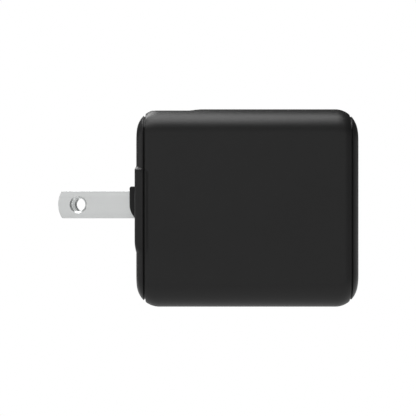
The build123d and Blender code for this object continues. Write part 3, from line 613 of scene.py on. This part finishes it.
def make_fingers(name, shell):
    """Four strips that spring inwards from the windows of one shell."""
    low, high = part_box(shell)
    middle_z = (low[2] + high[2]) / 2
    wall_z = (high[2] - low[2]) / 2 - SHELL_WALL / 2
    work = bmesh.new()
    for side in (-1, 1):
        for wall in (-1, 1):
            middle_y = side * (high[1] - low[1]) / 4
            rings = []
            for along, depth in FINGER_PATH:
                x = low[0] + WINDOW_START + along * MM
                z = wall * (wall_z - depth * MM)
                half_y = FINGER_WIDE / 2
                half_z = FINGER_THICK / 2
                ring = []
                for y, up in ((-half_y, -half_z), (half_y, -half_z), (half_y, half_z), (-half_y, half_z)):
                    ring.append(work.verts.new((x, middle_y + y, middle_z + z + up)))
                rings.append(ring)
            for first, second in zip(rings, rings[1:]):
                for index in range(4):
                    following = (index + 1) % 4
                    work.faces.new((first[index], first[following], second[following], second[index]))
            work.faces.new(list(reversed(rings[0])))
            work.faces.new(rings[-1])
    bmesh.ops.recalc_face_normals(work, faces=work.faces)
    mesh = bpy.data.meshes.new(name)
    work.to_mesh(mesh)
    work.free()
    piece = add_object(name, mesh)
    soften_edges(piece, FINGER_EDGE_SOFT)
    shade_by_angle(piece)
    return piece


# ======== materials ========


def start_material(name):
    """A new node material with its node tree and its shader."""
    material = bpy.data.materials.new(name)
    material.use_nodes = True
    tree = material.node_tree
    return material, tree, tree.nodes["Principled BSDF"]


def node(tree, kind, **settings):
    """A new node with its inputs or properties set."""
    made = tree.nodes.new(kind)
    for key, value in settings.items():
        if key in made.inputs:
            made.inputs[key].default_value = value
        else:
            setattr(made, key, value)
    return made


def object_noise(tree, scale, stretch=(1, 1, 1), detail=3.0):
    """Noise in the object's own coordinates, in cycles per metre."""
    place = node(tree, "ShaderNodeTexCoord")
    mapping = node(tree, "ShaderNodeMapping", Scale=stretch)
    noise = node(tree, "ShaderNodeTexNoise", Scale=scale, Detail=detail, Roughness=0.55)
    tree.links.new(place.outputs["Object"], mapping.inputs["Vector"])
    tree.links.new(mapping.outputs["Vector"], noise.inputs["Vector"])
    return noise.outputs["Fac"]


def remap(tree, value, low, high, from_low=0.3, from_high=0.7):
    """Maps a value onto a range."""
    change = node(tree, "ShaderNodeMapRange")
    change.inputs["From Min"].default_value = from_low
    change.inputs["From Max"].default_value = from_high
    change.inputs["To Min"].default_value = low
    change.inputs["To Max"].default_value = high
    tree.links.new(value, change.inputs["Value"])
    return change.outputs["Result"]


def mix_colours(tree, factor, first, second):
    """Mixes two colours, either of which may be another node's output."""
    mix = node(tree, "ShaderNodeMix", data_type="RGBA")
    tree.links.new(factor, mix.inputs["Factor"])
    for socket, colour in ((mix.inputs[6], first), (mix.inputs[7], second)):
        if isinstance(colour, bpy.types.NodeSocket):
            tree.links.new(colour, socket)
        else:
            socket.default_value = (*[min(c, 1.0) for c in colour], 1)
    return mix.outputs[2]


def add_bump(tree, shader, height, strength, distance):
    """Raises the surface by a height in metres."""
    bump = node(tree, "ShaderNodeBump", Strength=strength, Distance=distance)
    tree.links.new(height, bump.inputs["Height"])
    tree.links.new(bump.outputs["Normal"], shader.inputs["Normal"])


def edge_wear(tree, radius=0.12):
    """Rises towards 1 beside sharp edges, where the surface is rubbed, over a radius in millimetres."""
    bevel = node(tree, "ShaderNodeBevel", samples=4, Radius=radius * MM)
    shape = node(tree, "ShaderNodeNewGeometry")
    compare = node(tree, "ShaderNodeVectorMath", operation="DOT_PRODUCT")
    tree.links.new(bevel.outputs["Normal"], compare.inputs[0])
    tree.links.new(shape.outputs["Normal"], compare.inputs[1])
    patchy = object_noise(tree, 700, detail=3.0)
    edge = remap(tree, compare.outputs["Value"], 1.0, 0.0, 0.8, 0.99)
    both = node(tree, "ShaderNodeMath", operation="MULTIPLY")
    tree.links.new(edge, both.inputs[0])
    tree.links.new(remap(tree, patchy, 0.3, 1.0), both.inputs[1])
    return both.outputs["Value"]


def scaled(colour, share):
    """A colour with each channel multiplied by share."""
    return [channel * share for channel in colour]


def moulded(name, colour, roughness=0.5, grain=7000, depth=0.012, specular=0.5, worn=1.4, vary=0.06):
    """Moulded plastic or ceramic: fine grain, slow colour and gloss changes and slightly rubbed edges."""
    material, tree, shader = start_material(name)
    clouds = remap(tree, object_noise(tree, 90, detail=4.0), 0.0, 1.0)
    base = mix_colours(tree, clouds, scaled(colour, 1 - vary), scaled(colour, 1 + vary))
    rubbed = mix_colours(tree, edge_wear(tree), base, scaled(colour, worn))
    tree.links.new(rubbed, shader.inputs["Base Color"])
    speckle = object_noise(tree, 2600, detail=2.0)
    tree.links.new(remap(tree, speckle, roughness - 0.03, roughness + 0.03), shader.inputs["Roughness"])
    shader.inputs["Specular IOR Level"].default_value = specular
    add_bump(tree, shader, object_noise(tree, grain, detail=2.0), 0.35, depth * MM)
    return material


def rolled_metal(name, colour, roughness=0.3, stretch=(30, 2600, 2600), depth=0.003, worn=1.1):
    """Sheet metal with fine lines along X, cloudy plating and brighter rubbed edges."""
    material, tree, shader = start_material(name)
    shader.inputs["Metallic"].default_value = 1.0
    clouds = remap(tree, object_noise(tree, 260, detail=4.0), 0.0, 1.0)
    base = mix_colours(tree, clouds, scaled(colour, 0.985), scaled(colour, 1.01))
    rubbed = mix_colours(tree, edge_wear(tree), base, scaled(colour, worn))
    tree.links.new(rubbed, shader.inputs["Base Color"])
    lines = object_noise(tree, 1.0, stretch=stretch, detail=4.0)
    tree.links.new(remap(tree, lines, roughness - 0.03, roughness + 0.03), shader.inputs["Roughness"])
    add_bump(tree, shader, lines, 0.2, depth * MM)
    return material


def wound_wire(name, colour, pitch=0.32):
    """Enamelled copper in close turns side by side along X, a pitch in millimetres apart, with painted shade
    darkening the grooves between turns.
    """
    material, tree, shader = start_material(name)
    # a wave texture of scale 1 has 10 / pi bands to the metre
    wave_scale = 1 / (pitch * MM) * pi / 10
    shader.inputs["Metallic"].default_value = 0.9
    place = node(tree, "ShaderNodeTexCoord")
    turns = node(tree, "ShaderNodeTexWave", Scale=wave_scale, Distortion=0.4)
    tree.links.new(place.outputs["Object"], turns.inputs["Vector"])
    # painted shade: the copper colour darkens to a quarter in the grooves between the turns
    shade_between_turns = remap(tree, turns.outputs["Fac"], 0.0, 1.0, 0.0, 0.6)
    base = mix_colours(tree, shade_between_turns, scaled(colour, 0.25), colour)
    tree.links.new(base, shader.inputs["Base Color"])
    patches = object_noise(tree, 500)
    tree.links.new(remap(tree, patches, 0.25, 0.4), shader.inputs["Roughness"])
    add_bump(tree, shader, turns.outputs["Fac"], 0.6, 0.1 * MM)
    return material


def capped_can(name, colour):
    """A shrunk sleeve round a can, with the bare aluminium of its pressed top showing."""
    material, tree, shader = start_material(name)
    shape = node(tree, "ShaderNodeNewGeometry")
    parts = node(tree, "ShaderNodeSeparateXYZ")
    tree.links.new(shape.outputs["Normal"], parts.inputs["Vector"])
    top = remap(tree, parts.outputs["Y"], 0.0, 1.0, 0.9, 0.95)
    clouds = remap(tree, object_noise(tree, 300), 0.0, 1.0)
    sleeve = mix_colours(tree, clouds, scaled(colour, 0.9), scaled(colour, 1.15))
    tree.links.new(mix_colours(tree, top, sleeve, (0.7, 0.7, 0.71)), shader.inputs["Base Color"])
    tree.links.new(top, shader.inputs["Metallic"])
    gloss = remap(tree, object_noise(tree, 1500), 0.26, 0.36)
    tree.links.new(gloss, shader.inputs["Roughness"])
    add_bump(tree, shader, object_noise(tree, 900), 0.2, 0.03 * MM)
    return material


def printed_board(name, colour):
    """Solder mask over a pattern of tracks that shows as faint raised cells."""
    material, tree, shader = start_material(name)
    place = node(tree, "ShaderNodeTexCoord")
    cells = node(tree, "ShaderNodeTexVoronoi", feature="DISTANCE_TO_EDGE", Scale=380)
    tree.links.new(place.outputs["Object"], cells.inputs["Vector"])
    track = remap(tree, cells.outputs["Distance"], 0.0, 1.0, 0.05, 0.09)
    base = mix_colours(tree, track, scaled(colour, 0.65), scaled(colour, 1.25))
    tree.links.new(mix_colours(tree, edge_wear(tree), base, (0.3, 0.26, 0.14)), shader.inputs["Base Color"])
    gloss = remap(tree, object_noise(tree, 1800), 0.3, 0.42)
    tree.links.new(gloss, shader.inputs["Roughness"])
    add_bump(tree, shader, track, 0.5, 0.035 * MM)
    return material


CASE_BLACK = (0.0102, 0.0102, 0.0103)
CASE_ROUGHNESS = 0.42
CASE_SPECULAR = 0.38
HUB_BLACK = (0.0095, 0.0095, 0.0098)
NICKEL = (0.815, 0.83, 0.825)


def paint_everything():
    """One material for each slot of the record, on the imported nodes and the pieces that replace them."""
    paints = [
        (moulded("case_black", CASE_BLACK, CASE_ROUGHNESS, specular=CASE_SPECULAR), ["sleeve_shell"]),
        (
            moulded("cap_black", CASE_BLACK, CASE_ROUGHNESS, specular=CASE_SPECULAR),
            ["rear_cap_shell", "front_cap_shell"],
        ),
        (moulded("hub_black", HUB_BLACK, roughness=0.4, depth=0.006, specular=0.33), ["hub_drum"]),
        (rolled_metal("blade_nickel", NICKEL, 0.32), ["blade_strip_line", "blade_strip_neutral"]),
        (moulded("keeper_nylon", (0.05, 0.05, 0.05)), ["hinge_keeper"]),
        (rolled_metal("spring_steel", (0.56, 0.56, 0.55)), ["detent_leaf"]),
        (rolled_metal("contact_brass", (0.72, 0.5, 0.27)), ["line_contact", "neutral_contact"]),
        (
            rolled_metal("socket_steel", (0.72, 0.72, 0.71), 0.26),
            ["usb_shell_upper", "usb_shell_lower", "socket_fingers_upper", "socket_fingers_lower"],
        ),
        (
            moulded("tongue_white", (0.72, 0.72, 0.7), worn=1.05, vary=0.03),
            ["usb_tongue_upper", "usb_tongue_lower"],
        ),
        (rolled_metal("pin_gold", (0.9, 0.66, 0.3), 0.2), ["usb_pins_upper", "usb_pins_lower"]),
        (printed_board("board_green", (0.03, 0.16, 0.06)), ["main_board"]),
        (
            moulded("ferrite", (0.06, 0.06, 0.065), 0.65, grain=3000, depth=0.05, worn=2.2),
            ["transformer_core", "choke_core"],
        ),
        (moulded("bobbin_black", (0.03, 0.03, 0.03)), ["transformer_bobbin"]),
        (wound_wire("copper_wire", (0.72, 0.33, 0.16)), ["transformer_winding", "choke_windings"]),
        (
            moulded("tape_yellow", (0.8, 0.56, 0.07), 0.3, grain=900, depth=0.03, worn=1.1),
            ["transformer_tape"],
        ),
        (
            capped_can("can_sleeve", (0.03, 0.04, 0.06)),
            [
                "input_capacitor_upper",
                "input_capacitor_lower",
                "output_capacitor_upper",
                "output_capacitor_lower",
            ],
        ),
        (moulded("film_yellow", (0.75, 0.5, 0.06), 0.32, grain=2000, worn=1.15), ["x_capacitor"]),
        (moulded("disc_blue", (0.05, 0.18, 0.5), 0.25, grain=1200, depth=0.03), ["y_capacitor"]),
        (moulded("fuse_body", (0.28, 0.42, 0.36), 0.55, grain=2500, depth=0.03), ["fuse_resistor"]),
        (
            moulded("chip_black", (0.025, 0.025, 0.025), 0.55, grain=4000, depth=0.02, worn=2.0),
            ["bridge_rectifier", "controller_chip", "power_transistor", "optocoupler", "output_rectifier"],
        ),
        (moulded("sheet_black", (0.05, 0.05, 0.05), 0.7, grain=1500, depth=0.05), ["insulating_sheet"]),
        (moulded("pad_silicone", (0.35, 0.4, 0.45), 0.6, grain=1800, depth=0.03), ["thermal_pad"]),
    ]
    for material, names in paints:
        for name in names:
            piece = bpy.data.objects.get(name) or frame["nodes"][name]
            piece.data.materials.clear()
            piece.data.materials.append(material)


# ======== stage, light and camera ========

CENTRE = Vector(((REAR_FACE + FRONT_FACE) / 2, 0, 0))
SURROUND = 0.055
# the floor's glow rises from FLOOR_FRONT to FLOOR_BACK between these two values of Y, in metres
FLOOR_FRONT = 0.45
FLOOR_BACK = 1.0
GLOW_FRONT_Y = -0.05
GLOW_BACK_Y = 0.03
FLOOR_REACH = 3.0
FLOOR_DROP = 0.02 * MM
VIEW_CENTRE_X = 16.53 * MM
CAMERA_AWAY = 0.322
LENS = 118.5


def seen_as_white(tree, lighting):
    """White to the camera itself, and the given shader to every other ray."""
    path = node(tree, "ShaderNodeLightPath")
    mix = node(tree, "ShaderNodeMixShader")
    white = node(tree, "ShaderNodeEmission", Color=(1, 1, 1, 1), Strength=1.0)
    tree.links.new(path.outputs["Is Camera Ray"], mix.inputs[0])
    tree.links.new(lighting, mix.inputs[1])
    tree.links.new(white.outputs["Emission"], mix.inputs[2])
    return mix.outputs["Shader"]


def make_stage():
    """A white floor under the case that throws light up from behind, in a white surround."""
    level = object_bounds()[0][2] - FLOOR_DROP
    work = bmesh.new()
    for x, y in ((-1, -1), (1, -1), (1, 1), (-1, 1)):
        work.verts.new((x * FLOOR_REACH, y * FLOOR_REACH, level))
    work.faces.new(work.verts)
    mesh = bpy.data.meshes.new("floor")
    work.to_mesh(mesh)
    work.free()
    floor = add_object("floor", mesh)
    material = bpy.data.materials.new("floor_white")
    material.use_nodes = True
    tree = material.node_tree
    tree.nodes.clear()
    output = node(tree, "ShaderNodeOutputMaterial")
    place = node(tree, "ShaderNodeTexCoord")
    parts = node(tree, "ShaderNodeSeparateXYZ")
    tree.links.new(place.outputs["Object"], parts.inputs["Vector"])
    strength = remap(tree, parts.outputs["Y"], FLOOR_FRONT, FLOOR_BACK, GLOW_FRONT_Y, GLOW_BACK_Y)
    glow = node(tree, "ShaderNodeEmission", Color=(1, 1, 1, 1))
    tree.links.new(strength, glow.inputs["Strength"])
    tree.links.new(seen_as_white(tree, glow.outputs["Emission"]), output.inputs["Surface"])
    mesh.materials.append(material)

    world = bpy.data.worlds.new("surround")
    bpy.context.scene.world = world
    world.use_nodes = True
    tree = world.node_tree
    tree.nodes.clear()
    output = node(tree, "ShaderNodeOutputWorld")
    lighting = node(tree, "ShaderNodeBackground", Color=(1, 1, 1, 1), Strength=SURROUND)
    tree.links.new(seen_as_white(tree, lighting.outputs["Background"]), output.inputs["Surface"])


def softbox(name, direction, distance, width, height, brightness):
    """An evenly bright panel that faces the case from this direction and that the camera doesn't see."""
    light = bpy.data.lights.new(name, "AREA")
    light.shape = "RECTANGLE"
    light.size = width
    light.size_y = height
    light.energy = brightness * width * height * pi
    lamp = add_object(name, light)
    towards = Vector(direction).normalized()
    lamp.location = CENTRE + towards * distance
    lamp.rotation_euler = towards.to_track_quat("Z", "Y").to_euler()
    lamp.visible_camera = False


# direction from the case, distance, width and height in metres, and brightness of each panel
SOFTBOXES = {
    "top_light": ((-0.1, -0.24, 0.97), 0.5, 0.33, 0.42, 5.1),
    "front_light": ((0, -1, 0), 0.9, 0.85, 0.5, 0.97),
    "right_light": ((0.8, -0.6, 0), 0.8, 0.4, 0.4, 0.3),
    "left_light": ((-0.9, -0.5, 0.1), 0.6, 0.6, 0.4, 1.1),
    "rim_light": ((-0.36, 0.42, 0.78), 0.6, 0.26, 0.26, 8.0),
    "back_light": ((0, 1, 0), 0.6, 0.5, 0.3, 1.0),
}


def make_camera():
    """A level view of the -Y side, square on and centred between the blades' tips and the sockets."""
    data = bpy.data.cameras.new("camera")
    data.sensor_width = 36
    data.lens = LENS
    data.clip_start = 0.01
    camera = add_object("camera", data)
    camera.location = (VIEW_CENTRE_X, -CAMERA_AWAY, 0)
    camera.rotation_euler = (radians(90), 0, 0)
    bpy.context.scene.camera = camera
    bpy.context.scene.view_settings.view_transform = "Standard"


# ======== the model ========

case_pieces = {
    make_sleeve(): "case_black",
    make_rear_cap(): "cap_black",
    make_front_cap(): "cap_black",
    make_fingers("socket_fingers_upper", "usb_shell_upper"): "socket_steel",
    make_fingers("socket_fingers_lower", "usb_shell_lower"): "socket_steel",
}
plug_pieces = {
    make_hub(): "hub_black",
    make_blade("blade_strip_line", "line_blade"): "blade_nickel",
    make_blade("blade_strip_neutral", "neutral_blade"): "blade_nickel",
}
for body, pieces in (("case", case_pieces), ("plug", plug_pieces)):
    for piece, slot in pieces.items():
        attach(piece, body)

paint_everything()
make_stage()
for light_name, panel in SOFTBOXES.items():
    softbox(light_name, *panel)
make_camera()
